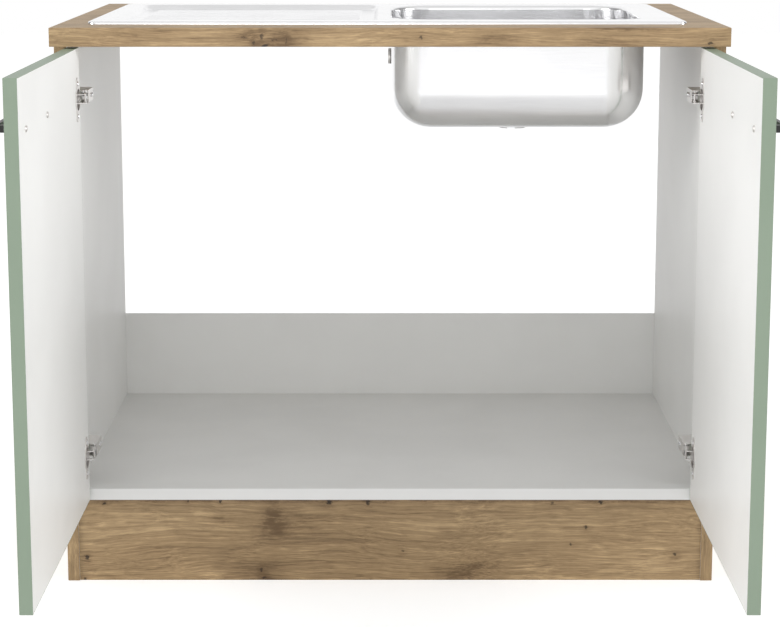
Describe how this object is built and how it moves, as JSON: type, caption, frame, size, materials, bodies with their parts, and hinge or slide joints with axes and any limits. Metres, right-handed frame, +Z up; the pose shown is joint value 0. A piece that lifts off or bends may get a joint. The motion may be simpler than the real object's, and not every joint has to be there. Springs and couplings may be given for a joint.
{
  "type": "kitchen sink base unit",
  "caption": "Kitchen sink base cabinet with an oak worktop, inset steel bowl and drainer, open back, plinth and a pair of sage green doors standing open.",
  "frame": {"origin": "on the floor, in the middle of the width, under the middle of the plinth board's thickness", "axes": "+Z up; +Y from the front to the wall, so the doors face -Y; +X to the right seen from the front"},
  "size_m": [1.01, 1.0978, 0.865],
  "materials": {
    "oak_board": "matt oak decor laminate, fine straight grain",
    "white_board": "white melamine-faced board, satin",
    "white_edge": "white edging, satin",
    "sage_face": "matt sage green",
    "black_handle": "matt black",
    "sink_steel": "fine satin",
    "nickel": "nickel plated pressed steel",
    "zinc": "zinc plated",
    "polished_steel": "polished",
    "rubber": "matt",
    "pale_plastic": "moulded, matt",
    "beech": "plain"
  },
  "bodies": {
    "cabinet": {"worktop": "oak_board", "worktop_edge_band": "oak_board", "plinth": "oak_board", "side_edge_band_left": "oak_board", "side_edge_band_right": "oak_board", "bottom_shelf": "white_board", "back_strip": "white_board", "side_panel_left": "white_board", "side_panel_right": "white_board", "shelf_edge_band": "white_edge", "sink_deck": "sink_steel", "sink_bowl": "sink_steel", "hinge_arms_left": "nickel", "hinge_arms_right": "nickel", "mounting_plates_left": "nickel", "mounting_plates_right": "nickel", "arm_pins_left": "nickel", "arm_pins_right": "nickel", "strip_screws": "zinc", "connector_bolts": "zinc", "cam_locks": "zinc", "bracket_screws": "zinc", "worktop_brackets": "zinc", "sink_clips": "zinc", "clip_screws": "zinc", "plate_screws_left": "zinc", "plate_screws_right": "zinc", "adjusting_screws_left": "zinc", "adjusting_screws_right": "zinc", "waste_flange": "polished_steel", "overflow_plate": "polished_steel", "overflow_screw": "polished_steel", "sink_seal": "rubber", "waste_gasket": "rubber", "overflow_gasket": "rubber", "waste_nut": "pale_plastic", "overflow_boss": "pale_plastic", "dowels": "beech"},
    "hinge_link_left": {"hinge_links_left": "nickel"},
    "door_left": {"door_board_left": "white_board", "door_face_left": "sage_face", "door_edging_left": "sage_face", "handle_left": "black_handle", "handle_screws_left": "zinc", "hinge_cups_left": "nickel", "cup_pins_left": "nickel", "cup_screws_left": "zinc"},
    "hinge_link_right": {"hinge_links_right": "nickel"},
    "door_right": {"door_board_right": "white_board", "door_face_right": "sage_face", "door_edging_right": "sage_face", "handle_right": "black_handle", "handle_screws_right": "zinc", "hinge_cups_right": "nickel", "cup_pins_right": "nickel", "cup_screws_right": "zinc"},
    "plug": {"plug": "polished_steel", "plug_seal": "rubber"}
  },
  "joints": [
    {"name": "hinge_link_left", "type": "hinge", "parent": "cabinet", "child": "hinge_link_left", "pos_m": [-0.4566, 0.00165, 0.4795], "axis": [0, 0, 1], "range_deg": [-40.4, 6.7]},
    {"name": "door_left", "type": "hinge", "parent": "hinge_link_left", "child": "door_left", "pos_m": [-0.4655, -0.031, 0.4795], "axis": [0, 0, 1], "range_deg": [-21, 130.29]},
    {"name": "hinge_link_right", "type": "hinge", "parent": "cabinet", "child": "hinge_link_right", "pos_m": [0.4566, 0.00165, 0.4795], "axis": [0, 0, -1], "range_deg": [-40.4, 6.7]},
    {"name": "door_right", "type": "hinge", "parent": "hinge_link_right", "child": "door_right", "pos_m": [0.4655, -0.031, 0.4795], "axis": [0, 0, -1], "range_deg": [-21, 130.29]},
    {"name": "plug_lift", "type": "slide", "parent": "cabinet", "child": "plug", "axis": [0, 0, 1], "range_m": [0, 0.03]}
  ],
  "couplings": [
    {"joint": "hinge_link_left", "follows": "door_left", "ratio": -0.30924},
    {"joint": "hinge_link_right", "follows": "door_right", "ratio": -0.30924}
  ]
}
